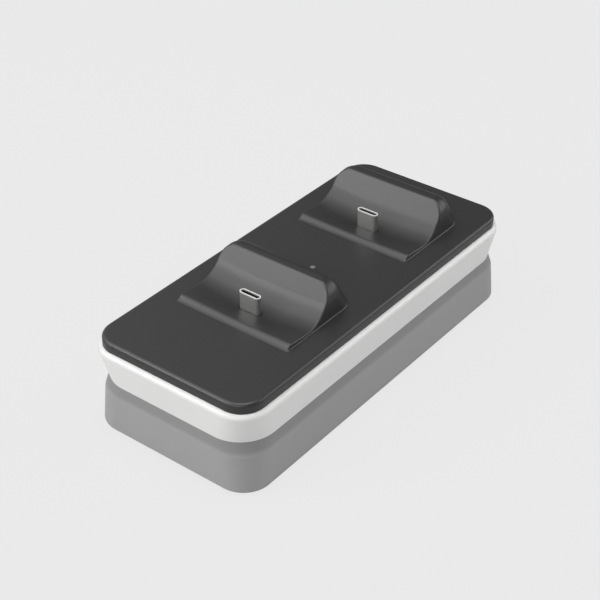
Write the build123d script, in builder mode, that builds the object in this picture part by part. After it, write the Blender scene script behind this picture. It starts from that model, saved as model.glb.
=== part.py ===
"""Charging dock for two game controllers: a screwed plastic case, a cradle round each upright USB-C plug.

Millimetres, +Z up, +Y from the dock's front to its back, origin on the floor under the middle of the case.
"""
import os
from math import acos, cos, degrees, radians, sin, tan

from build123d import *

os.makedirs("parts", exist_ok=True)

# Case outline seen from above: the top plate, how far the other outlines stand out past it, and how much
# rounder than that the corners are at the waist and the shoulder
plate_width = 64.0
plate_length = 145.8
plate_corner = 8.5
band_reach = 1.8
waist_reach = 0.4
waist_ease = 4.2
shoulder_reach = 1.1
shoulder_ease = 1.8
base_reach = 1.6

# Case heights
foot_stand = 0.6
base_height = 18.5
shoulder_drop = 5.0
band_height = 11.9
plate_height = 3.6

# Walls and rounded edges of the case
cover_wall = 2.2
band_wall = 2.0
base_wall = 2.6
base_floor = 2.4
plate_edge = 1.2
band_edge = 1.7
base_edge = 1.0

# How the three shells sit in each other
fit = 0.15
seat_width = 3.0
seat_flange = 2.0
skirt_height = 6.0
skirt_wall = 1.8
lip_rise = 2.0
lip_root = 2.0
lip_wall = 1.0

# Cradles, placed from the plate's ends and measured from the plug's axis and the plate's top face
front_bay_inset = 41.15
rear_bay_inset = 39.55
cradle_width = 45.0
cradle_draft = 0.7
cradle_front = 11.0
lip_height = 1.6
lip_sink = 0.05
lip_fairing = 2.8
lip_crown = 1.7
floor_height = 1.15
floor_dish = 0.9
lip_dish = 0.3
scoop_radius = 11.3
lean_angle = 59.0
crest_set = 13.9
crest_height = 11.8
back_set = 19.2
back_angle = 61.0
back_corner = 6.0
cradle_round = 5.8
rim_round = 0.6
root_round = 0.5

# USB-C plug in each cradle
plug_width = 8.25
plug_thickness = 2.4
plug_stand = 6.65
plug_root = 5.0
plug_wall = 0.35
mouth_width = 6.4
mouth_thickness = 1.0
mouth_depth = 5.2
contact_pitch = 0.5
contact_count = 12
contact_width = 0.25
contact_thickness = 0.1
contact_length = 3.4
slot_clearance = 0.2

# Plug carrier and plug board under each cradle
carrier_width = 21.0
carrier_depth = 9.0
ear_reach = 9.0
ear_thickness = 2.5
ear_boss_height = 6.0
ear_boss_radius = 3.0
plug_board_width = 12.0
plug_board_thickness = 0.8
plug_board_height = 10.5

# Main board on its standoffs
board_width = 36.0
board_length = 120.0
board_thickness = 1.6
board_gap = 1.2
standoff_height = 4.0
standoff_radius = 2.8
standoff_inset = 4.5
standoff_pilot_depth = 5.0

# Parts on the main board, those for a bay placed from the board's end and its middle line
part_inset = 12.0
part_side = 11.0
chip_length = 4.9
chip_width = 3.9
chip_height = 1.5
chip_lead_reach = 1.0
chip_lead_width = 0.4
chip_lead_thickness = 0.25
chip_lead_pitch = 1.27
chip_lead_count = 4
capacitor_radius = 3.15
capacitor_height = 7.0
capacitor_edge = 0.5
led_length = 2.0
led_width = 1.25
led_height = 0.8
led_set = 33.15

# Light pipe from the status light up to the plate
pipe_radius = 1.2
pipe_gap = 0.3
pipe_flange_radius = 2.2
pipe_flange_height = 1.0
guide_radius = 2.6
guide_length = 8.0
pipe_clearance = 0.06

# Power inlet in the rear wall
inlet_width = 8.94
inlet_thickness = 3.26
inlet_length = 7.35
inlet_wall = 0.3
inlet_back = 1.5
tongue_width = 6.69
tongue_thickness = 0.7
tongue_setback = 0.8
inlet_clearance = 0.25

# Feet, posts and screws
foot_radius = 6.0
foot_recess = 1.2
foot_edge = 0.4
post_side_inset = 9.5
post_end_inset = 10.9
post_radius = 4.0
case_head_bore = 4.0
screw_clearance = 0.2
pilot_clearance = 0.05
case_screw_radius = 1.5
case_screw_head = 2.7
case_screw_grip = 10.0
small_screw_radius = 1.1
small_screw_head = 2.1
small_screw_grip = 4.5
head_ratio = 0.7
tip_ratio = 0.5
cross_width = 0.5

# Leads from each plug board to the main board
lead_radius = 0.6
lead_spacing = 4.0
lead_overlap = 3.0
lead_shift = 6.0
lead_bend = 2.6

# Levels and places that follow from the sizes above
base_z = foot_stand
floor_z = base_z + base_floor
waist_z = base_z + base_height
shoulder_z = waist_z - shoulder_drop
seat_z = waist_z + band_height
plate_z = seat_z + plate_height
ceiling_z = plate_z - cover_wall
post_x = plate_width / 2 - post_side_inset
post_y = plate_length / 2 - post_end_inset
post_top_z = waist_z
head_seat_z = base_z + foot_recess + case_head_bore
board_z = floor_z + standoff_height
board_top_z = board_z + board_thickness
bays = {"front": front_bay_inset - plate_length / 2, "rear": plate_length / 2 - rear_bay_inset}
led_y = bays["front"] + led_set
plug_foot_z = plate_z + floor_height - floor_dish
plug_tip_z = plug_foot_z + plug_stand
plug_low_z = plug_foot_z - plug_root
ear_z = ceiling_z - ear_boss_height
ear_x = carrier_width / 2 + ear_reach / 2
inlet_y = plate_length / 2 + shoulder_reach
inlet_z = board_top_z + inlet_thickness / 2
board_back_y = inlet_y - base_wall - board_gap
board_y = board_back_y - board_length / 2
part_reach = board_length / 2 - part_inset
part_rows = {"front": board_y - part_reach, "rear": board_y + part_reach}


def outline(reach, ease=0, mode=Mode.ADD):
    """The case outline in the open sketch, out past the plate by reach, its corners rounder by ease."""
    corner = plate_corner + reach + ease
    RectangleRounded(plate_width + 2 * reach, plate_length + 2 * reach, corner, mode=mode)


def posts():
    """The case posts' places about the middle of the case."""
    return GridLocations(2 * post_x, 2 * post_y, 2, 2)


def standoffs():
    """The standoffs' places about the middle of the main board."""
    return GridLocations(board_width - 2 * standoff_inset, board_length - 2 * standoff_inset, 2, 2)


def save(piece, name):
    """Name a finished piece and write it to its own file."""
    piece.part.label = name
    export_step(piece.part, f"parts/{name}.step")


# Each cradle is a block with a sloping back and rounded edges, scooped out from the lip to the crest
lean = radians(lean_angle)
fall = radians(back_angle)
root_depth = cover_wall / 2


def cradle_block(inset, depth):
    """The block about the plug's axis, drawn in by inset at sides, back and top, and set into the plate."""
    with BuildPart() as block:
        for level in (-depth, crest_height - inset):
            drop = crest_height - level
            width = cradle_width + 2 * cradle_draft * drop / crest_height - 2 * inset
            back_y = back_set + drop / tan(fall) - inset / sin(fall)
            with BuildSketch(Plane.XY.offset(level)):
                with Locations((0, (back_y - cradle_front) / 2)):
                    Rectangle(width, back_y + cradle_front)
        loft(ruled=True)
        uprights = block.edges().filter_by(lambda edge: abs(edge.tangent_at(0.5).Z) > cos(fall))
        fillet(uprights.sort_by(Axis.Y)[-2:], back_corner - inset)
        top_edges = block.faces().sort_by(Axis.Z)[-1].edges()
        fillet(top_edges.sort_by(Axis.Y)[1:], cradle_round - inset)
    return block.part


def on_rim(edge):
    """Whether an edge of the seat runs along the side of the cradle or along its crest."""
    return abs(edge.center().X) > cradle_width / 4 or edge.center().Z > crest_height - rim_round


def scoop_start(dish):
    """Where a floor dished that deep starts to curve up, and how far the straight backrest rises."""
    rise = crest_height - floor_height + dish - scoop_radius * (1 - cos(lean))
    return crest_set - rise / tan(lean) - scoop_radius * sin(lean), rise


# Outer form: the block under a side view of lip, floor and backrest, with the floor dished in mid-width
outer_block = cradle_block(0, root_depth)
with BuildPart() as cradle_form:
    for side in (-1, 0, 1):
        dish = floor_dish if side == 0 else 0
        climb = lip_sink + (lip_height if side else lip_height - lip_dish)
        tilt = degrees(acos(1 - climb / (lip_fairing + lip_crown)))
        bend_y, rise = scoop_start(dish)
        with BuildSketch(Plane.YZ.offset(side * (cradle_width / 2 + 2 * cradle_draft))):
            with BuildLine():
                fairing = JernArc((-cradle_front, -lip_sink), (1, 0), lip_fairing, tilt)
                crown = JernArc(fairing @ 1, fairing % 1, lip_crown, -tilt)
                seat = Spline(crown @ 1, (bend_y, floor_height - dish), tangents=((1, 0), (1, 0)))
                scoop = JernArc(seat @ 1, (1, 0), scoop_radius, lean_angle)
                rest = PolarLine(scoop @ 1, 2 * rise / sin(lean), lean_angle)
                Polyline(
                    rest @ 1,
                    (2 * back_set, (rest @ 1).Y),
                    (2 * back_set, -root_depth),
                    (-cradle_front, -root_depth),
                    (-cradle_front, -lip_sink),
                )
            make_face()
    loft()
    add(outer_block, mode=Mode.INTERSECT)
    seat_faces = cradle_form.faces().filter_by(lambda face: abs(face.center().X) < rim_round)
    seat_faces = seat_faces.filter_by(lambda face: face.center().Z > 0 and face.center().Y < crest_set)
    seat_edges = ShapeList(edge for face in seat_faces for edge in face.edges())
    fillet(seat_edges.filter_by(on_rim), rim_round)

# Hollow under a cradle's backrest, one wall inside its outer form
inner_block = cradle_block(cover_wall, plate_height)
with BuildPart() as cradle_hollow:
    with BuildSketch(Plane.YZ):
        with BuildLine():
            bend_y, rise = scoop_start(floor_dish)
            start = (bend_y, floor_height - floor_dish - cover_wall)
            scoop = JernArc(start, (1, 0), scoop_radius + cover_wall, lean_angle)
            rest = PolarLine(scoop @ 1, 2 * rise / sin(lean), lean_angle)
            Polyline(
                rest @ 1,
                (2 * back_set, (rest @ 1).Y),
                (2 * back_set, -plate_height),
                (bend_y, -plate_height),
                start,
            )
        make_face()
    extrude(amount=cradle_width, both=True)
    add(inner_block, mode=Mode.INTERSECT)

# Top cover: plate, skirt that drops into the band, cradles, screw bosses and the light pipe's guide
bay_places = [(0, bay_y, plate_z) for bay_y in bays.values()]
ear_places = [(side * ear_x, bay_y) for bay_y in bays.values() for side in (-1, 1)]
with BuildPart() as top_cover:
    with BuildSketch(Plane.XY.offset(seat_z)):
        outline(0)
    extrude(amount=plate_height)
    fillet(top_cover.faces().sort_by(Axis.Z)[-1].edges(), plate_edge)
    with BuildSketch(Plane.XY.offset(seat_z)):
        outline(-seat_width - fit)
    extrude(amount=-skirt_height)
    with BuildSketch(Plane.XY.offset(seat_z - skirt_height)):
        outline(-seat_width - fit - skirt_wall)
    extrude(amount=skirt_height + plate_height - cover_wall, mode=Mode.SUBTRACT)
    with Locations(*bay_places):
        add(cradle_form.part)
        add(cradle_hollow.part, mode=Mode.SUBTRACT)
    # Each cradle's sides and back run out into the plate, but not its lip, which is the first three edges
    plate_top = top_cover.faces().filter_by(Axis.Z).filter_by(Face.inner_wires).sort_by(Axis.Z)[-1]
    roots = [wire.edges().sort_by(Axis.Y)[3:] for wire in plate_top.inner_wires()]
    fillet([edge for root in roots for edge in root], root_round)
    with BuildSketch(Plane.XY.offset(post_top_z)):
        with posts():
            Circle(post_radius)
    extrude(amount=ceiling_z + root_depth - post_top_z)
    with BuildSketch(Plane.XY.offset(ear_z)):
        with Locations(*ear_places):
            Circle(ear_boss_radius)
    extrude(amount=ear_boss_height + root_depth)
    with BuildSketch(Plane.XY.offset(ceiling_z - guide_length)):
        with Locations((0, led_y)):
            Circle(guide_radius)
    extrude(amount=guide_length + root_depth)
    with BuildSketch(Plane.XY.offset(ceiling_z - guide_length)):
        with Locations((0, led_y)):
            Circle(pipe_radius + pipe_clearance)
    extrude(amount=guide_length + cover_wall, mode=Mode.SUBTRACT)
    with BuildSketch(Plane.XY.offset(post_top_z)):
        with posts():
            Circle(case_screw_radius + pilot_clearance)
    extrude(amount=case_screw_grip + screw_clearance, mode=Mode.SUBTRACT)
    with BuildSketch(Plane.XY.offset(ear_z)):
        with Locations(*ear_places):
            Circle(small_screw_radius + pilot_clearance)
    extrude(amount=small_screw_grip + screw_clearance, mode=Mode.SUBTRACT)
    with BuildSketch(Plane.XY.offset(ceiling_z - plate_height)):
        with Locations(*[(0, bay_y) for bay_y in bays.values()]):
            SlotOverall(plug_width + 2 * slot_clearance, plug_thickness + 2 * slot_clearance)
    extrude(amount=cover_wall + plate_height + floor_height, mode=Mode.SUBTRACT)
save(top_cover, "top_cover")

# Trim band: widest under its rounded upper edge, with an inner flange that carries the plate
with BuildPart() as trim_band:
    for reach, ease, height in ((waist_reach, waist_ease, waist_z), (band_reach, 0, seat_z)):
        with BuildSketch(Plane.XY.offset(height)):
            outline(reach, ease)
    loft(ruled=True)
    fillet(trim_band.faces().sort_by(Axis.Z)[-1].edges(), band_edge)
    for reach, ease, height in ((waist_reach, waist_ease, waist_z), (band_reach, 0, seat_z - seat_flange)):
        with BuildSketch(Plane.XY.offset(height)):
            outline(reach - band_wall, ease)
    loft(ruled=True, mode=Mode.SUBTRACT)
    with BuildSketch(Plane.XY.offset(waist_z)):
        outline(-seat_width)
    extrude(amount=band_height, mode=Mode.SUBTRACT)
save(trim_band, "trim_band")

# Base housing: flared tub with a lip inside the band, screw posts, board standoffs and the inlet's opening
tub_upper = ((shoulder_reach, shoulder_ease, shoulder_z), (waist_reach, waist_ease, waist_z))
with BuildPart() as base_housing:
    for reach, ease, height in ((base_reach, 0, base_z), *tub_upper):
        with BuildSketch(Plane.XY.offset(height)):
            outline(reach, ease)
    loft(ruled=True)
    fillet(base_housing.faces().sort_by(Axis.Z)[0].edges(), base_edge)
    for reach, ease, height in ((base_reach, 0, floor_z), *tub_upper):
        with BuildSketch(Plane.XY.offset(height)):
            outline(reach - base_wall, ease)
    loft(ruled=True, mode=Mode.SUBTRACT)
    with BuildSketch(Plane.XY.offset(waist_z - lip_root)):
        outline(waist_reach - base_wall / 2, waist_ease)
        outline(waist_reach - base_wall - lip_wall, waist_ease, mode=Mode.SUBTRACT)
    extrude(amount=lip_root)
    with BuildSketch(Plane.XY.offset(waist_z)):
        outline(waist_reach - band_wall - fit, waist_ease)
        outline(waist_reach - base_wall - lip_wall, waist_ease, mode=Mode.SUBTRACT)
    extrude(amount=lip_rise)
    with BuildSketch(Plane.XY.offset(base_z + base_edge)):
        with posts():
            Circle(post_radius)
    extrude(amount=post_top_z - base_z - base_edge)
    with BuildSketch(Plane.XY.offset(floor_z - base_floor / 2)):
        with Locations((0, board_y)):
            with standoffs():
                Circle(standoff_radius)
    extrude(amount=standoff_height + base_floor / 2)
    with BuildSketch(Plane.XY.offset(board_z)):
        with Locations((0, board_y)):
            with standoffs():
                Circle(small_screw_radius + pilot_clearance)
    extrude(amount=-standoff_pilot_depth, mode=Mode.SUBTRACT)
    with BuildSketch(Plane.XY.offset(base_z)):
        with posts():
            Circle(foot_radius + fit)
    extrude(amount=foot_recess, mode=Mode.SUBTRACT)
    with BuildSketch(Plane.XY.offset(base_z)):
        with posts():
            Circle(case_screw_head + screw_clearance)
    extrude(amount=head_seat_z - base_z, mode=Mode.SUBTRACT)
    with BuildSketch(Plane.XY.offset(base_z)):
        with posts():
            Circle(case_screw_radius + screw_clearance)
    extrude(amount=post_top_z - base_z, mode=Mode.SUBTRACT)
    with BuildSketch(Plane.XZ.offset(-inlet_y - base_wall)):
        with Locations((0, inlet_z)):
            SlotOverall(inlet_width + 2 * inlet_clearance, inlet_thickness + 2 * inlet_clearance)
    extrude(amount=2 * base_wall + board_gap, mode=Mode.SUBTRACT)
save(base_housing, "base_housing")

# Rubber feet, pressed into the recesses that hide the case screws
corner_names = ("front_left", "rear_left", "front_right", "rear_right")
for corner, place in zip(corner_names, posts().locations):
    with BuildPart() as foot:
        with BuildSketch():
            with Locations(place):
                Circle(foot_radius)
        extrude(amount=foot_stand + foot_recess)
        fillet(foot.faces().sort_by(Axis.Z)[0].edges(), foot_edge)
    save(foot, f"foot_{corner}")

# Main board on its standoffs, notched round the case posts
with BuildPart() as main_board:
    with BuildSketch(Plane.XY.offset(board_z)):
        with Locations((0, board_y)):
            Rectangle(board_width, board_length)
            with standoffs():
                Circle(small_screw_radius + screw_clearance, mode=Mode.SUBTRACT)
        with posts():
            Circle(post_radius + board_gap, mode=Mode.SUBTRACT)
    extrude(amount=board_thickness)
save(main_board, "main_board")

# Charge chip and reservoir capacitor for each bay
for bay, row_y in part_rows.items():
    with BuildPart() as charge_chip:
        with BuildSketch(Plane.XY.offset(board_top_z + chip_lead_thickness)):
            with Locations((-part_side, row_y)):
                Rectangle(chip_length, chip_width)
        extrude(amount=chip_height - chip_lead_thickness)
        with BuildSketch(Plane.XY.offset(board_top_z)):
            with Locations((-part_side, row_y)):
                with GridLocations(chip_lead_pitch, chip_width, chip_lead_count, 2):
                    Rectangle(chip_lead_width, 2 * chip_lead_reach)
        extrude(amount=2 * chip_lead_thickness)
    save(charge_chip, f"{bay}_charge_chip")

    with BuildPart() as capacitor:
        with BuildSketch(Plane.XY.offset(board_top_z)):
            with Locations((part_side, row_y)):
                Circle(capacitor_radius)
        extrude(amount=capacitor_height)
        fillet(capacitor.edges().group_by(Axis.Z)[-1], capacitor_edge)
    save(capacitor, f"{bay}_capacitor")

# Status light on the main board and the pipe that carries it to the plate
with BuildPart() as status_led:
    with BuildSketch(Plane.XY.offset(board_top_z)):
        with Locations((0, led_y)):
            Rectangle(led_length, led_width)
    extrude(amount=led_height)
save(status_led, "status_led")

pipe_low_z = board_top_z + led_height + pipe_gap
with BuildPart() as light_pipe:
    with BuildSketch(Plane.XY.offset(pipe_low_z)):
        with Locations((0, led_y)):
            Circle(pipe_radius)
    extrude(amount=plate_z - pipe_low_z)
    with BuildSketch(Plane.XY.offset(ceiling_z - guide_length)):
        with Locations((0, led_y)):
            Circle(pipe_flange_radius)
    extrude(amount=-pipe_flange_height)
save(light_pipe, "light_pipe")

# Power inlet: a socket shell on the main board's rear edge, with its tongue and contacts
inlet_back_plane = Plane.XZ.offset(-(inlet_y - inlet_length))
with BuildPart() as inlet_shell:
    with BuildSketch(inlet_back_plane):
        with Locations((0, inlet_z)):
            SlotOverall(inlet_width, inlet_thickness)
            SlotOverall(inlet_width - 2 * inlet_wall, inlet_thickness - 2 * inlet_wall, mode=Mode.SUBTRACT)
    extrude(amount=-inlet_length)
save(inlet_shell, "inlet_shell")

with BuildPart() as inlet_tongue:
    with BuildSketch(inlet_back_plane):
        with Locations((0, inlet_z)):
            SlotOverall(inlet_width - 2 * inlet_wall, inlet_thickness - 2 * inlet_wall)
    extrude(amount=-inlet_back)
    with BuildSketch(inlet_back_plane):
        with Locations((0, inlet_z)):
            Rectangle(tongue_width, tongue_thickness)
    extrude(amount=-inlet_length + tongue_setback)
save(inlet_tongue, "inlet_tongue")

inlet_contact_length = inlet_length - inlet_back - tongue_setback - contact_width
with BuildPart() as inlet_contacts:
    with BuildSketch(Plane.XZ.offset(-(inlet_y - inlet_length + inlet_back))):
        with Locations((0, inlet_z)):
            with GridLocations(contact_pitch, tongue_thickness + contact_thickness, contact_count, 2):
                Rectangle(contact_width, contact_thickness)
    extrude(amount=-inlet_contact_length)
save(inlet_contacts, "inlet_contacts")

# Each bay's plug, the board it is soldered to, the carrier that holds both, and the leads
carrier_low_z = ear_z - ear_thickness
plug_board_low_z = plug_low_z - plug_board_height
lead_colours = {"red": -1, "black": 1}
for bay, bay_y in bays.items():
    with BuildPart() as plug_shell:
        with BuildSketch(Plane.XY.offset(plug_low_z)):
            with Locations((0, bay_y)):
                SlotOverall(plug_width, plug_thickness)
                SlotOverall(plug_width - 2 * plug_wall, plug_thickness - 2 * plug_wall, mode=Mode.SUBTRACT)
        extrude(amount=plug_tip_z - plug_low_z)
    save(plug_shell, f"{bay}_plug_shell")

    with BuildPart() as plug_core:
        with BuildSketch(Plane.XY.offset(plug_low_z)):
            with Locations((0, bay_y)):
                SlotOverall(plug_width - 2 * plug_wall, plug_thickness - 2 * plug_wall)
        extrude(amount=plug_tip_z - plug_wall - plug_low_z)
        with BuildSketch(Plane.XY.offset(plug_tip_z - plug_wall)):
            with Locations((0, bay_y)):
                Rectangle(mouth_width, mouth_thickness)
        extrude(amount=-mouth_depth, mode=Mode.SUBTRACT)
    save(plug_core, f"{bay}_plug_core")

    with BuildPart() as plug_contacts:
        with BuildSketch(Plane.XY.offset(plug_tip_z - plug_wall - mouth_depth)):
            with Locations((0, bay_y)):
                with GridLocations(contact_pitch, mouth_thickness - contact_thickness, contact_count, 2):
                    Rectangle(contact_width, contact_thickness)
        extrude(amount=contact_length)
    save(plug_contacts, f"{bay}_plug_contacts")

    with BuildPart() as plug_board:
        with BuildSketch(Plane.XY.offset(plug_board_low_z)):
            with Locations((0, bay_y)):
                Rectangle(plug_board_width, plug_board_thickness)
        extrude(amount=plug_board_height)
    save(plug_board, f"{bay}_plug_board")

    with BuildPart() as plug_carrier:
        with BuildSketch(Plane.XY.offset(carrier_low_z)):
            with Locations((0, bay_y)):
                Rectangle(carrier_width, carrier_depth)
        extrude(amount=ceiling_z - carrier_low_z)
        with BuildSketch(Plane.XY.offset(carrier_low_z)):
            with Locations((0, bay_y)):
                Rectangle(carrier_width + 2 * ear_reach, carrier_depth)
        extrude(amount=ear_thickness)
        with BuildSketch(Plane.XY.offset(plug_low_z)):
            with Locations((0, bay_y)):
                SlotOverall(plug_width + 2 * pilot_clearance, plug_thickness + 2 * pilot_clearance)
        extrude(amount=ceiling_z - plug_low_z, mode=Mode.SUBTRACT)
        with BuildSketch(Plane.XY.offset(carrier_low_z)):
            with Locations((0, bay_y)):
                Rectangle(plug_board_width + 2 * fit, plug_board_thickness + 2 * fit)
        extrude(amount=plug_low_z - carrier_low_z, mode=Mode.SUBTRACT)
        with BuildSketch(Plane.XY.offset(carrier_low_z)):
            with Locations((-ear_x, bay_y), (ear_x, bay_y)):
                Circle(small_screw_radius + screw_clearance)
        extrude(amount=ear_thickness, mode=Mode.SUBTRACT)
    save(plug_carrier, f"{bay}_plug_carrier")

    for colour, side in lead_colours.items():
        lead_y = bay_y + plug_board_thickness / 2 + lead_radius
        lead_start_z = plug_board_low_z + lead_overlap
        drop = plug_board_low_z - board_top_z
        with BuildPart() as lead:
            with BuildLine(Plane.YZ.offset(side * lead_spacing / 2)) as route:
                FilletPolyline(
                    (lead_y, lead_start_z),
                    (lead_y, board_top_z + drop * 2 / 3),
                    (lead_y + lead_shift, board_top_z + drop / 3),
                    (lead_y + lead_shift, board_top_z),
                    radius=lead_bend,
                )
            with BuildSketch(Plane(origin=route.line @ 0, z_dir=route.line % 0)):
                Circle(lead_radius)
            sweep()
        save(lead, f"{bay}_{colour}_lead")


def screw(shank_radius, head_radius, length):
    """A pan-head screw that points up, with the underside of its head on the ground plane."""
    head_height = head_radius * head_ratio
    with BuildPart() as form:
        with BuildSketch(Plane.XZ):
            with BuildLine():
                Polyline(
                    (0, -head_height),
                    (head_radius * head_ratio, -head_height),
                    (head_radius, -head_height * (1 - head_ratio)),
                    (head_radius, 0),
                    (shank_radius, 0),
                    (shank_radius, length - shank_radius),
                    (shank_radius * tip_ratio, length),
                    (0, length),
                    close=True,
                )
            make_face()
        revolve(axis=Axis.Z)
        with BuildSketch(Plane.XY.offset(-head_height)):
            Rectangle(head_radius, cross_width)
            Rectangle(cross_width, head_radius)
        extrude(amount=head_height * tip_ratio, mode=Mode.SUBTRACT)
    return form.part


# Case screws from under the feet into the top cover's long bosses
case_screw = screw(case_screw_radius, case_screw_head, post_top_z - head_seat_z + case_screw_grip)
with BuildPart() as case_screws:
    with Locations(Location((0, 0, head_seat_z))):
        with posts():
            add(case_screw)
save(case_screws, "case_screws")

# Board screws, head up, and carrier screws, head down
board_screw = screw(small_screw_radius, small_screw_head, board_thickness + small_screw_grip)
with BuildPart() as board_screws:
    with Locations(Location((0, board_y, board_top_z), (180, 0, 0))):
        with standoffs():
            add(board_screw)
save(board_screws, "board_screws")

carrier_screw = screw(small_screw_radius, small_screw_head, ear_thickness + small_screw_grip)
with BuildPart() as carrier_screws:
    with Locations(*[(x, y, carrier_low_z) for x, y in ear_places]):
        add(carrier_screw)
save(carrier_screws, "carrier_screws")
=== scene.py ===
"""Looks of the charging dock: finishes for its CAD pieces, and the studio it stands in.

Metres, in the part's frame.
"""
import math

import bpy
from mathutils import Matrix, Vector


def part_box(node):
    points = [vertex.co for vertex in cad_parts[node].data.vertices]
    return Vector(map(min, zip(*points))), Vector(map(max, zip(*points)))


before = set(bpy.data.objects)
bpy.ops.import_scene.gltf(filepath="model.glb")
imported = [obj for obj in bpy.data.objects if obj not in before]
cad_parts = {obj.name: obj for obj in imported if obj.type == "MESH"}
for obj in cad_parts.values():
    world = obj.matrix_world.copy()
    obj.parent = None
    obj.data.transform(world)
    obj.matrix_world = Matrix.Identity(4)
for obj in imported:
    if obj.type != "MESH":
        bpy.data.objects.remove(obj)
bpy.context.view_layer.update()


# Base housing: the grey tub that the dock stands on, moulded in ABS in a spark-eroded tool, so it is matte.
# Its lip goes up inside the trim band, and the case screws pass up through its four posts.
def linear(code):
    """An sRGB hex colour as the linear values that a colour socket takes."""
    shares = [int(code[i:i + 2], 16) / 255 for i in (1, 3, 5)]
    return [s / 12.92 if s <= 0.04045 else ((s + 0.055) / 1.055) ** 2.4 for s in shares] + [1.0]


def spaced(millimetres):
    """The scale of a pattern whose marks are that far apart, on coordinates in metres."""
    return 1000 / millimetres


def connect(tree, node, inputs):
    """Sets a node's inputs to values, or links them to other nodes' sockets."""
    for socket, value in inputs.items():
        if isinstance(value, bpy.types.NodeSocket):
            tree.links.new(value, node.inputs[socket])
        else:
            node.inputs[socket].default_value = value


def add(tree, kind, inputs, **settings):
    """A new node in the tree, with its settings and its inputs. A colour Mix takes 0, 6 and 7, and gives 2."""
    made = tree.nodes.new(kind)
    for name, value in settings.items():
        setattr(made, name, value)
    connect(tree, made, inputs)
    return made


def begin(name):
    """A new material, with its node tree, its shader and the piece's own coordinates in metres."""
    material = bpy.data.materials.new(name)
    material.use_nodes = True
    tree = material.node_tree
    place = add(tree, "ShaderNodeTexCoord", {}).outputs["Object"]
    return material, tree, tree.nodes["Principled BSDF"], place


def finish(material, *names):
    """Gives CAD nodes a material in place of the one they were packed with."""
    for name in names:
        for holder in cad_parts[name].material_slots:
            holder.material = material


# Matte grey with a fine even grain. The real grain is about 0.1 mm and is drawn at 0.45 mm so that it shows.
grey_abs, tree, shader, place = begin("spark_textured_grey_abs")
clouds = add(tree, "ShaderNodeTexNoise", {0: place, "Scale": spaced(9), "Detail": 3.0}).outputs[0]
grain = add(tree, "ShaderNodeTexNoise", {0: place, "Scale": spaced(0.45), "Detail": 2.0}).outputs[0]
body = add(tree, "ShaderNodeMix", {0: clouds, 6: linear("#949494"), 7: linear("#9a9a9a")},
           data_type="RGBA").outputs[2]
body = add(tree, "ShaderNodeMix", {0: grain, 6: body, 7: linear("#a0a0a0")}, data_type="RGBA").outputs[2]
# Painted shade: darker in a band just below the joint with the trim band, where the band above shades the wall
joint_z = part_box("trim_band")[0].z
dark_from = 0.0050
dark_by = 0.0028
height = add(tree, "ShaderNodeSeparateXYZ", {0: place}).outputs["Z"]
joint_shade = add(tree, "ShaderNodeMapRange", {0: height, 1: joint_z - dark_from, 2: joint_z - dark_by},
           interpolation_type="SMOOTHSTEP").outputs[0]
body = add(tree, "ShaderNodeMix", {0: joint_shade, 6: body, 7: linear("#8a8a8a")}, data_type="RGBA").outputs[2]
dull = add(tree, "ShaderNodeMapRange", {0: grain, 3: 0.56, 4: 0.7}).outputs[0]
bump = add(tree, "ShaderNodeBump", {"Strength": 0.10, "Distance": 0.0002, "Height": grain}).outputs[0]
connect(tree, shader, {"Base Color": body, "Roughness": dull, "IOR": 1.53, "Normal": bump})
finish(grey_abs, "base_housing")


# Rubber feet: four moulded pads glued in the recesses under the base, over the heads of the case screws.
# The rubber is matte black, greyed by dust where it meets the table.
rubber, tree, shader, place = begin("moulded_black_rubber")
dusty_height = 0.0007
grain = add(tree, "ShaderNodeTexNoise", {0: place, "Scale": spaced(0.5), "Detail": 3.0}).outputs[0]
height = add(tree, "ShaderNodeSeparateXYZ", {0: place}).outputs["Z"]
dust = add(tree, "ShaderNodeMapRange", {0: height, 1: dusty_height, 2: 0.0, 4: 0.6}).outputs[0]
dust = add(tree, "ShaderNodeMath", {0: dust, 1: grain}, operation="MULTIPLY").outputs[0]
body = add(tree, "ShaderNodeMix", {0: dust, 6: linear("#1d1d1d"), 7: linear("#6b6862")},
           data_type="RGBA").outputs[2]
bump = add(tree, "ShaderNodeBump", {"Strength": 0.3, "Distance": 0.0001, "Height": grain}).outputs[0]
connect(tree, shader, {"Base Color": body, "Roughness": 0.82, "IOR": 1.52, "Normal": bump})
finish(rubber, "foot_front_left", "foot_front_right", "foot_rear_left", "foot_rear_right")


# Screws: pan heads with cross slots, of turned steel with a thin bluish zinc plating.
# The case screws go up through the posts, and the small ones hold the main board and the plug carriers.
zinc_steel, tree, shader, place = begin("zinc_plated_steel")
blotches = add(tree, "ShaderNodeTexNoise", {0: place, "Scale": spaced(1.2), "Detail": 4.0}).outputs[0]
body = add(tree, "ShaderNodeMix", {0: blotches, 6: linear("#a9aeb4"), 7: linear("#c6c8c8")},
           data_type="RGBA").outputs[2]
dull = add(tree, "ShaderNodeMapRange", {0: blotches, 3: 0.26, 4: 0.46}).outputs[0]
connect(tree, shader, {"Base Color": body, "Metallic": 1.0, "Roughness": dull})
finish(zinc_steel, "case_screws", "board_screws", "carrier_screws")


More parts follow.
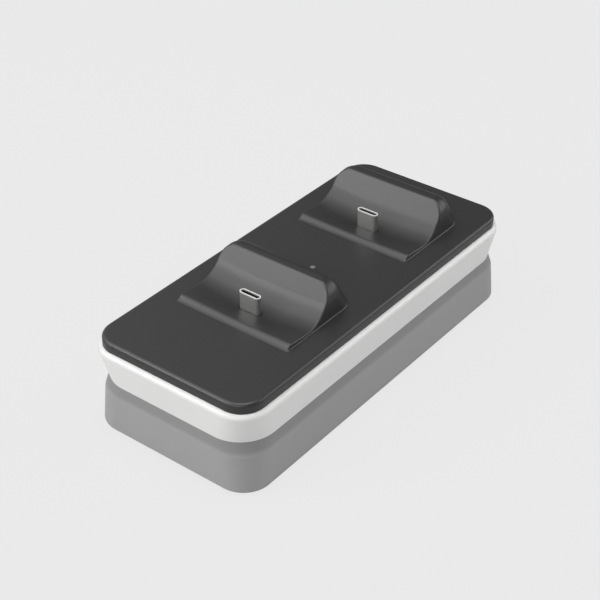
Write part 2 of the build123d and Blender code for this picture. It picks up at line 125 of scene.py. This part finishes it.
# Power inlet: a USB-C socket in the rear wall, with a drawn steel shell round a black tongue and its contacts.
# It is soldered to the main board, and the cord that goes into it isn't part of the dock.
# Drawn steel: bright, with fine lines along the way it was drawn. Their 0.05 mm is drawn at 0.25 mm to show.
drawn_steel, tree, shader, place = begin("drawn_stainless_steel")
lines_per_mm = (4.0, 4.0, 0.3)
lines = add(tree, "ShaderNodeMapping", {0: place, "Scale": lines_per_mm}).outputs[0]
lines = add(tree, "ShaderNodeTexNoise", {0: lines, "Scale": spaced(1), "Detail": 2.0}).outputs[0]
body = add(tree, "ShaderNodeMix", {0: lines, 6: linear("#a4a4a2"), 7: linear("#c4c4c2")},
           data_type="RGBA").outputs[2]
dull = add(tree, "ShaderNodeMapRange", {0: lines, 3: 0.22, 4: 0.36}).outputs[0]
bump = add(tree, "ShaderNodeBump", {"Strength": 0.05, "Distance": 0.0001, "Height": lines}).outputs[0]
connect(tree, shader, {"Base Color": body, "Metallic": 1.0, "Roughness": dull, "Normal": bump})
finish(drawn_steel, "inlet_shell")

# Glass-filled nylon: dull black, with paler flecks where the fibres reach the surface, 0.3 mm apart
black_nylon, tree, shader, place = begin("glass_filled_black_nylon")
flecks = add(tree, "ShaderNodeTexVoronoi", {0: place, "Scale": spaced(0.3)}).outputs["Distance"]
flecks = add(tree, "ShaderNodeMapRange", {0: flecks, 1: 0.28, 2: 0.12}).outputs[0]
body = add(tree, "ShaderNodeMix", {0: flecks, 6: linear("#151515"), 7: linear("#272727")},
           data_type="RGBA").outputs[2]
bump = add(tree, "ShaderNodeBump", {"Strength": 0.1, "Distance": 0.00005, "Height": flecks}).outputs[0]
connect(tree, shader, {"Base Color": body, "Roughness": 0.55, "IOR": 1.53, "Normal": bump})
finish(black_nylon, "inlet_tongue")

# Gold over nickel: warm and bright, a little duller in the patches that a plug has rubbed
gilt, tree, shader, place = begin("gold_plated_copper")
rubbed = add(tree, "ShaderNodeTexNoise", {0: place, "Scale": spaced(0.8), "Detail": 3.0}).outputs[0]
body = add(tree, "ShaderNodeMix", {0: rubbed, 6: linear("#d9b25e"), 7: linear("#efd08a")},
           data_type="RGBA").outputs[2]
dull = add(tree, "ShaderNodeMapRange", {0: rubbed, 3: 0.18, 4: 0.4}).outputs[0]
connect(tree, shader, {"Base Color": body, "Metallic": 1.0, "Roughness": dull})
finish(gilt, "inlet_contacts")


# Circuit boards: the main board lies on the base's standoffs, and a plug board stands up in each plug carrier.
# They are woven glass laminate under a green lacquer, which shows the weave and the copper as paler green.
laminate, tree, shader, place = begin("lacquered_glass_laminate")
track_width = 0.0004
track_length = 0.007
track_spacing = 0.0022
black = (0.0, 0.0, 0.0, 1.0)
white = (1.0, 1.0, 1.0, 1.0)
# A Wave texture repeats every 2 pi / 20 at scale 1. A repeat is a thread and a gap, each 0.6 mm wide.
thread_scale = spaced(0.6) / 20 * math.pi
threads = add(tree, "ShaderNodeTexWave", {0: place, "Scale": thread_scale}, bands_direction="X").outputs["Fac"]
picks = add(tree, "ShaderNodeTexWave", {0: place, "Scale": thread_scale}, bands_direction="Y").outputs["Fac"]
weave = add(tree, "ShaderNodeMath", {0: threads, 1: picks}, operation="MULTIPLY").outputs[0]
tracks = add(tree, "ShaderNodeTexBrick", {
    0: place, "Scale": 1.0, "Mortar Size": track_width, "Brick Width": track_length,
    "Row Height": track_spacing, "Color1": black, "Color2": black, "Mortar": white,
}).outputs["Fac"]
body = add(tree, "ShaderNodeMix", {0: weave, 6: linear("#0e3f22"), 7: linear("#145231")},
           data_type="RGBA").outputs[2]
body = add(tree, "ShaderNodeMix", {0: tracks, 6: body, 7: linear("#2c7a48")}, data_type="RGBA").outputs[2]
bump = add(tree, "ShaderNodeBump", {"Strength": 0.2, "Distance": 0.00003, "Height": tracks}).outputs[0]
connect(tree, shader, {"Base Color": body, "Roughness": 0.34, "IOR": 1.5, "Normal": bump})
finish(laminate, "main_board", "front_plug_board", "rear_plug_board")


# Charge chips and reservoir capacitors: one of each for a bay, soldered on the main board.
# A chip is black resin moulded over tinned legs, and a capacitor is an aluminium can crimped on a black foot.
resin_reach = 0.001952
foot_height = 0.0013
mark_reach = 0.0015
top_skin = 0.00005
rings_per_mm = (0.3, 0.3, 5.0)
for bay in ("front", "rear"):
    low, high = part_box(f"{bay}_charge_chip")
    middle = (low + high) / 2
    resin, tree, shader, place = begin(f"{bay}_moulded_resin_on_tinned_legs")
    across = add(tree, "ShaderNodeSeparateXYZ", {0: place}).outputs["Y"]
    across = add(tree, "ShaderNodeMath", {0: across, 1: middle.y}, operation="SUBTRACT").outputs[0]
    across = add(tree, "ShaderNodeMath", {0: across}, operation="ABSOLUTE").outputs[0]
    tinned = add(tree, "ShaderNodeMath", {0: across, 1: resin_reach}, operation="GREATER_THAN").outputs[0]
    grain = add(tree, "ShaderNodeTexNoise", {0: place, "Scale": spaced(0.25), "Detail": 2.0}).outputs[0]
    body = add(tree, "ShaderNodeMix", {0: grain, 6: linear("#191919"), 7: linear("#2b2b2b")},
               data_type="RGBA").outputs[2]
    body = add(tree, "ShaderNodeMix", {0: tinned, 6: body, 7: linear("#c9c8c4")}, data_type="RGBA").outputs[2]
    dull = add(tree, "ShaderNodeMapRange", {0: tinned, 3: 0.7, 4: 0.35}).outputs[0]
    bump = add(tree, "ShaderNodeBump", {"Strength": 0.2, "Distance": 0.00005, "Height": grain}).outputs[0]
    connect(tree, shader, {"Base Color": body, "Metallic": tinned, "Roughness": dull, "Normal": bump})
    finish(resin, f"{bay}_charge_chip")

    # The dark patch on top marks the can's negative side, and its wall has fine rings, 0.2 mm apart
    low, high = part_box(f"{bay}_capacitor")
    middle = (low + high) / 2
    can, tree, shader, place = begin(f"{bay}_aluminium_can_on_black_foot")
    axes = add(tree, "ShaderNodeSeparateXYZ", {0: place}).outputs
    foot = add(tree, "ShaderNodeMath", {0: axes["Z"], 1: low.z + foot_height}, operation="LESS_THAN").outputs[0]
    on_top = add(tree, "ShaderNodeMath", {0: axes["Z"], 1: high.z - top_skin},
                 operation="GREATER_THAN").outputs[0]
    polarity = add(tree, "ShaderNodeMath", {0: axes["X"], 1: middle.x - mark_reach},
                   operation="LESS_THAN").outputs[0]
    polarity = add(tree, "ShaderNodeMath", {0: polarity, 1: on_top}, operation="MULTIPLY").outputs[0]
    dark = add(tree, "ShaderNodeMath", {0: polarity, 1: foot}, operation="MAXIMUM").outputs[0]
    rings = add(tree, "ShaderNodeMapping", {0: place, "Scale": rings_per_mm}).outputs[0]
    rings = add(tree, "ShaderNodeTexNoise", {0: rings, "Scale": spaced(1), "Detail": 2.0}).outputs[0]
    body = add(tree, "ShaderNodeMix", {0: rings, 6: linear("#b6b7ba"), 7: linear("#d2d3d5")},
               data_type="RGBA").outputs[2]
    body = add(tree, "ShaderNodeMix", {0: dark, 6: body, 7: linear("#1f1f22")}, data_type="RGBA").outputs[2]
    bare = add(tree, "ShaderNodeMath", {0: 1.0, 1: dark}, operation="SUBTRACT").outputs[0]
    dull = add(tree, "ShaderNodeMapRange", {0: rings, 3: 0.24, 4: 0.4}).outputs[0]
    connect(tree, shader, {"Base Color": body, "Metallic": bare, "Roughness": dull})
    finish(can, f"{bay}_capacitor")


# Status light: a chip LED on the main board, and the polycarbonate rod that carries its light to the plate.
# The LED is a white ceramic tub filled with yellow resin, and it is off.
flat = (1.0, 1.0, 0.0)
window_radius = 0.00046
window_inside = 0.00042
low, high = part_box("status_led")
middle = (low + high) / 2
led_resin, tree, shader, place = begin("yellow_resin_in_white_ceramic")
spot = add(tree, "ShaderNodeVectorMath", {0: place, 1: middle}, operation="SUBTRACT").outputs[0]
spot = add(tree, "ShaderNodeVectorMath", {0: spot, 1: flat}, operation="MULTIPLY").outputs[0]
spot = add(tree, "ShaderNodeVectorMath", {0: spot}, operation="LENGTH").outputs["Value"]
window = add(tree, "ShaderNodeMapRange", {0: spot, 1: window_radius, 2: window_inside}).outputs[0]
specks = add(tree, "ShaderNodeTexNoise", {0: place, "Scale": spaced(0.08), "Detail": 1.0}).outputs[0]
filling = add(tree, "ShaderNodeMix", {0: specks, 6: linear("#d8b534"), 7: linear("#ecd46c")},
              data_type="RGBA").outputs[2]
body = add(tree, "ShaderNodeMix", {0: window, 6: linear("#e4e3dd"), 7: filling}, data_type="RGBA").outputs[2]
connect(tree, shader, {"Base Color": body, "Roughness": 0.3})
finish(led_resin, "status_led")

# Frosted polycarbonate: a dim grey eye in the plate, with painted shade that darkens it towards its rim
eye_radius = 0.0006
edge_radius = 0.0011
low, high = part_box("light_pipe")
axis = (low + high) / 2
rod, tree, shader, place = begin("frosted_polycarbonate")
frost = add(tree, "ShaderNodeTexNoise", {0: place, "Scale": spaced(0.2), "Detail": 2.0}).outputs[0]
body = add(tree, "ShaderNodeMix", {0: frost, 6: linear("#8a8a88"), 7: linear("#9c9c9a")},
           data_type="RGBA").outputs[2]
from_axis = add(tree, "ShaderNodeVectorMath", {0: place, 1: axis}, operation="SUBTRACT").outputs[0]
from_axis = add(tree, "ShaderNodeVectorMath", {0: from_axis, 1: flat}, operation="MULTIPLY").outputs[0]
from_axis = add(tree, "ShaderNodeVectorMath", {0: from_axis}, operation="LENGTH").outputs["Value"]
# Painted shade: the eye darkens from its middle out to its rim
edge = add(tree, "ShaderNodeMapRange", {0: from_axis, 1: eye_radius, 2: edge_radius},
           interpolation_type="SMOOTHSTEP").outputs[0]
body = add(tree, "ShaderNodeMix", {0: edge, 6: body, 7: linear("#3a3a3a")}, data_type="RGBA").outputs[2]
dull = add(tree, "ShaderNodeMapRange", {0: frost, 3: 0.35, 4: 0.55}).outputs[0]
connect(tree, shader, {"Base Color": body, "Roughness": dull, "IOR": 1.58, "Transmission Weight": 0.35})
finish(rod, "light_pipe")


# Plug carriers and leads: a carrier holds plug and plug board under the cradle's floor, on two screws.
# The carriers are moulded in the inlet's black nylon, and the leads are wires in red and black vinyl.
finish(black_nylon, "front_plug_carrier", "rear_plug_carrier")
for colour, deep, pale in (("red", "#8e1414", "#b02020"), ("black", "#141414", "#222222")):
    vinyl, tree, shader, place = begin(f"{colour}_vinyl")
    clouds = add(tree, "ShaderNodeTexNoise", {0: place, "Scale": spaced(1.5), "Detail": 2.0}).outputs[0]
    body = add(tree, "ShaderNodeMix", {0: clouds, 6: linear(deep), 7: linear(pale)},
               data_type="RGBA").outputs[2]
    bump = add(tree, "ShaderNodeBump", {"Strength": 0.1, "Distance": 0.0001, "Height": clouds}).outputs[0]
    connect(tree, shader, {"Base Color": body, "Roughness": 0.36, "IOR": 1.53, "Normal": bump})
    finish(vinyl, f"front_{colour}_lead", f"rear_{colour}_lead")


# Trim band: the white ring between base and cover, moulded in ABS in a polished tool.
# The cover's plate sits on its inner flange, so its rounded upper edge frames the plate.
# Polished ABS: smooth and softly glossy, with the very slight unevenness of a thin moulded wall.
white_abs, tree, shader, place = begin("polished_white_abs")
clouds = add(tree, "ShaderNodeTexNoise", {0: place, "Scale": spaced(14), "Detail": 2.0}).outputs[0]
body = add(tree, "ShaderNodeMix", {0: clouds, 6: linear("#e3e3e2"), 7: linear("#e7e7e6")},
           data_type="RGBA").outputs[2]
dull = add(tree, "ShaderNodeMapRange", {0: clouds, 3: 0.34, 4: 0.42}).outputs[0]
bump = add(tree, "ShaderNodeBump", {"Strength": 0.03, "Distance": 0.0005, "Height": clouds}).outputs[0]
connect(tree, shader, {"Base Color": body, "Roughness": dull, "IOR": 1.53, "Normal": bump})
finish(white_abs, "trim_band")


# Top cover: the charcoal plate with its two cradles, one moulding held by the case screws from below.
# It is ABS with a fine satin texture, which gives broad soft highlights on a near-black body.
# The real grain is 0.08 mm and is drawn at 0.4 mm so that it shows.
charcoal_abs, tree, shader, place = begin("satin_charcoal_abs")
clouds = add(tree, "ShaderNodeTexNoise", {0: place, "Scale": spaced(10), "Detail": 3.0}).outputs[0]
grain = add(tree, "ShaderNodeTexNoise", {0: place, "Scale": spaced(0.4), "Detail": 2.0}).outputs[0]
body = add(tree, "ShaderNodeMix", {0: clouds, 6: linear("#1f1f1f"), 7: linear("#232323")},
           data_type="RGBA").outputs[2]
body = add(tree, "ShaderNodeMix", {0: grain, 6: body, 7: linear("#282828")}, data_type="RGBA").outputs[2]
dull = add(tree, "ShaderNodeMapRange", {0: grain, 3: 0.34, 4: 0.44}).outputs[0]
bump = add(tree, "ShaderNodeBump", {"Strength": 0.04, "Distance": 0.0001, "Height": grain}).outputs[0]
connect(tree, shader, {"Base Color": body, "Roughness": dull, "IOR": 1.54, "Normal": bump})
finish(charcoal_abs, "top_cover")


# Plugs: an upright USB-C plug in each cradle, through a slot in its floor, with the inlet's core and contacts.
# The shell is drawn steel, tumbled to a pale satin, with a painted highlight that makes it pale and less
# metallic round its mouth.
satin_steel, tree, shader, place = begin("tumbled_stainless_steel")
mouth_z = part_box("front_plug_shell")[1].z
bright_from = 0.0006
bright_by = 0.0001
streaks_per_mm = (0.4, 0.4, 3.0)
streaks = add(tree, "ShaderNodeMapping", {0: place, "Scale": streaks_per_mm}).outputs[0]
streaks = add(tree, "ShaderNodeTexNoise", {0: streaks, "Scale": spaced(1), "Detail": 3.0}).outputs[0]
height = add(tree, "ShaderNodeSeparateXYZ", {0: place}).outputs["Z"]
# Painted highlight: pale and less metallic round the top of the mouth
bright = add(tree, "ShaderNodeMapRange",
             {0: height, 1: mouth_z - bright_from, 2: mouth_z - bright_by}).outputs[0]
body = add(tree, "ShaderNodeMix", {0: streaks, 6: linear("#989896"), 7: linear("#c0c0be")},
           data_type="RGBA").outputs[2]
body = add(tree, "ShaderNodeMix", {0: bright, 6: body, 7: linear("#f4f4f2")}, data_type="RGBA").outputs[2]
solid = add(tree, "ShaderNodeMapRange", {0: bright, 3: 0.9, 4: 0.35}).outputs[0]
dull = add(tree, "ShaderNodeMapRange", {0: streaks, 3: 0.38, 4: 0.52}).outputs[0]
bump = add(tree, "ShaderNodeBump", {"Strength": 0.08, "Distance": 0.0001, "Height": streaks}).outputs[0]
connect(tree, shader, {"Base Color": body, "Metallic": solid, "Roughness": dull, "Normal": bump})
finish(satin_steel, "front_plug_shell", "rear_plug_shell")
finish(black_nylon, "front_plug_core", "rear_plug_core")
finish(gilt, "front_plug_contacts", "rear_plug_contacts")


# The camera stands at the photograph's angle, front right and above, with a long lens.
azimuth = math.radians(37.8)
elevation = math.radians(34.51)
stand = (0.24326, -0.31920, 0.29766)
level = math.cos(elevation)
back = Vector((math.sin(azimuth) * level, -math.cos(azimuth) * level, math.sin(elevation)))
right = Vector((math.cos(azimuth), math.sin(azimuth), 0.0))
up = back.cross(right)
camera = bpy.data.objects.new("camera", bpy.data.cameras.new("camera"))
bpy.context.scene.collection.objects.link(camera)
camera.matrix_world = Matrix.Translation(stand) @ Matrix((right, up, back)).transposed().to_4x4()
camera.data.lens = 84.79
camera.data.clip_start = 0.01
bpy.context.scene.camera = camera


# Softboxes: a small strong key low at the front left, a low strip at the front, one overhead, and broad weaker
# ones high at the left and at the back right. Each has a direction from the dock, a width and height in metres,
# and a radiance.
lamp_distance = 1.2
aimed_at = Vector((0.0, 0.0, 0.03))
for name, toward, width, tall, radiance in (
    ("key_light", (-0.54, -0.74, 0.40), 0.50, 0.50, 5.9),
    ("front_light", (0.24, -0.92, 0.32), 0.90, 0.34, 2.7),
    ("side_light", (-0.53, -0.37, 0.76), 0.80, 0.90, 1.75),
    ("top_light", (0.05, 0.0, 1.0), 0.66, 0.66, 4.6),
    ("rim_light", (0.60, 0.69, 0.40), 1.30, 0.80, 2.1),
):
    data = bpy.data.lights.new(name, "AREA")
    data.shape = "RECTANGLE"
    data.size = width
    data.size_y = tall
    data.energy = radiance * math.pi * width * tall
    lamp = bpy.data.objects.new(name, data)
    bpy.context.scene.collection.objects.link(lamp)
    aim = Vector(toward).normalized()
    turn = aim.to_track_quat("Z", "Y").to_matrix().to_4x4()
    lamp.matrix_world = Matrix.Translation(aim * lamp_distance + aimed_at) @ turn
    lamp.visible_camera = False


# The world is soft grey light. The camera sees the pale backdrop in its place, and mirror-like surfaces see
# the studio past the floor, which is dim at the back and right and paler towards the key.
backdrop = linear("#ebebeb")
fill = (0.20, 0.20, 0.20, 1.0)
pale_side = (-0.55, -0.75, 0.36)
world = bpy.data.worlds.new("studio")
bpy.context.scene.world = world
world.use_nodes = True
tree = world.node_tree
direction = add(tree, "ShaderNodeTexCoord", {}).outputs["Generated"]
towards_key = add(tree, "ShaderNodeVectorMath", {0: direction, 1: pale_side},
                  operation="DOT_PRODUCT").outputs["Value"]
studio = add(tree, "ShaderNodeMapRange", {0: towards_key, 1: -0.18, 2: 0.46, 3: 0.15, 4: 1.0}).outputs[0]
rays = add(tree, "ShaderNodeLightPath", {}).outputs
shiny = add(tree, "ShaderNodeMath", {0: rays["Is Glossy Ray"], 1: rays["Is Transmission Ray"]},
            operation="MAXIMUM").outputs[0]
light = add(tree, "ShaderNodeMix", {0: shiny, 6: fill, 7: studio}, data_type="RGBA").outputs[2]
light = add(tree, "ShaderNodeMix", {0: rays["Is Camera Ray"], 6: light, 7: backdrop},
            data_type="RGBA").outputs[2]
connect(tree, tree.nodes["Background"], {"Color": light})


# The floor is pale paper that shows the backdrop's tone and takes a faint shadow. Mirror-like surfaces see it
# as pale round the dock, and as dim as the studio further off.
reach = 4.0
pale_radius = 0.12
dim_radius = 0.30
backdrop_share = 0.92
floor_mesh = bpy.data.meshes.new("floor")
corners = [(-reach, -reach, 0), (reach, -reach, 0), (reach, reach, 0), (-reach, reach, 0)]
floor_mesh.from_pydata(corners, [], [(0, 1, 2, 3)])
floor = bpy.data.objects.new("floor", floor_mesh)
bpy.context.scene.collection.objects.link(floor)
paper, tree, shader, place = begin("pale_paper")
connect(tree, shader, {"Base Color": linear("#d0d0d0"), "Roughness": 0.9, "Specular IOR Level": 0.0})
away = add(tree, "ShaderNodeVectorMath", {0: place}, operation="LENGTH").outputs["Value"]
pool = add(tree, "ShaderNodeMapRange", {0: away, 1: pale_radius, 2: dim_radius, 3: 0.8, 4: 0.25},
           interpolation_type="SMOOTHSTEP").outputs[0]
rays = add(tree, "ShaderNodeLightPath", {}).outputs
pool = add(tree, "ShaderNodeMath", {0: pool, 1: rays["Is Camera Ray"]}, operation="MAXIMUM").outputs[0]
glow = add(tree, "ShaderNodeEmission", {"Color": backdrop, "Strength": pool}).outputs[0]
seen = add(tree, "ShaderNodeMath", {0: rays["Is Camera Ray"], 1: rays["Is Glossy Ray"]},
           operation="MAXIMUM").outputs[0]
seen = add(tree, "ShaderNodeMath", {0: seen, 1: rays["Is Transmission Ray"]}, operation="MAXIMUM").outputs[0]
share = add(tree, "ShaderNodeMath", {0: seen, 1: backdrop_share}, operation="MULTIPLY").outputs[0]
surface = add(tree, "ShaderNodeMixShader", {0: share, 1: shader.outputs[0], 2: glow}).outputs[0]
connect(tree, tree.nodes["Material Output"], {"Surface": surface})
floor_mesh.materials.append(paper)

bpy.context.scene.view_settings.view_transform = "Standard"
